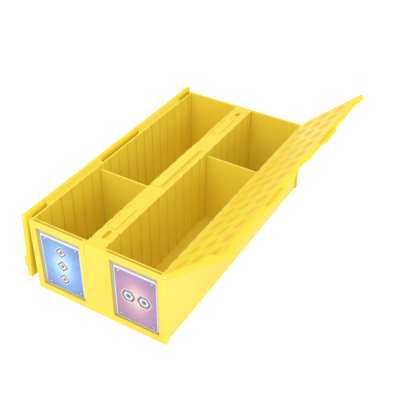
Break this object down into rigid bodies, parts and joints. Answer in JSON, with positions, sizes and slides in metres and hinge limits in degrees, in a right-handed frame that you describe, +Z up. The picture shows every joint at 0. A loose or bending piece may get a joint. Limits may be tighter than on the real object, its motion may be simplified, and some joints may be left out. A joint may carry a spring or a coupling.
{
  "type": "trading card storage bin",
  "caption": "Long two-lane card box with a hollow centre rib, a hinged lid over each lane, lift-out dividers and framed labels at the front.",
  "frame": {"origin": "on the table, under the middle of the box's base", "axes": "+X to the right along the front, +Y from the front panel to the rear panel, +Z up"},
  "size_m": [0.3034, 0.393, 0.1921],
  "materials": {
    "yellow_plastic": "printed in fine layers, satin",
    "rod_steel": "drawn rod, cut ends",
    "clear_plastic": "clear rigid sheet",
    "blue_card": "coated card stock, printed",
    "violet_card": "coated card stock, printed"
  },
  "bodies": {
    "bin": {"floor_plate": "yellow_plastic", "left_side_wall": "yellow_plastic", "right_side_wall": "yellow_plastic", "centre_rib": "yellow_plastic", "rib_cap": "yellow_plastic", "centre_rail": "yellow_plastic", "front_rib_pad": "yellow_plastic", "rear_rib_pad": "yellow_plastic", "front_panel": "yellow_plastic", "rear_panel": "yellow_plastic", "left_hinge_rod": "rod_steel", "right_hinge_rod": "rod_steel"},
    "left_lid_body": {"left_lid": "yellow_plastic"},
    "right_lid_body": {"right_lid": "yellow_plastic"},
    "left_divider_body": {"left_divider": "yellow_plastic"},
    "right_divider_body": {"right_divider": "yellow_plastic"},
    "left_label_body": {"left_card_holder": "clear_plastic", "left_label_card": "blue_card"},
    "right_label_body": {"right_card_holder": "clear_plastic", "right_label_card": "violet_card"}
  },
  "joints": [
    {"name": "left_lid_hinge", "type": "hinge", "parent": "bin", "child": "left_lid_body", "pos_m": [-0.1051, 0, 0.12005], "axis": [0, -1, 0], "range_deg": [-265.8, 0]},
    {"name": "right_lid_hinge", "type": "hinge", "parent": "bin", "child": "right_lid_body", "pos_m": [0.1051, 0, 0.12005], "axis": [0, 1, 0], "range_deg": [-138.3, 127.5]},
    {"name": "left_divider_lift", "type": "slide", "parent": "bin", "child": "left_divider_body", "axis": [0, 0, 1], "range_m": [0, 0.114]},
    {"name": "right_divider_lift", "type": "slide", "parent": "bin", "child": "right_divider_body", "axis": [0, 0, 1], "range_m": [0, 0.114]},
    {"name": "left_label_lift", "type": "slide", "parent": "bin", "child": "left_label_body", "axis": [0, 0, 1], "range_m": [0, 0.109]},
    {"name": "right_label_lift", "type": "slide", "parent": "bin", "child": "right_label_body", "axis": [0, 0, 1], "range_m": [0, 0.109]}
  ]
}
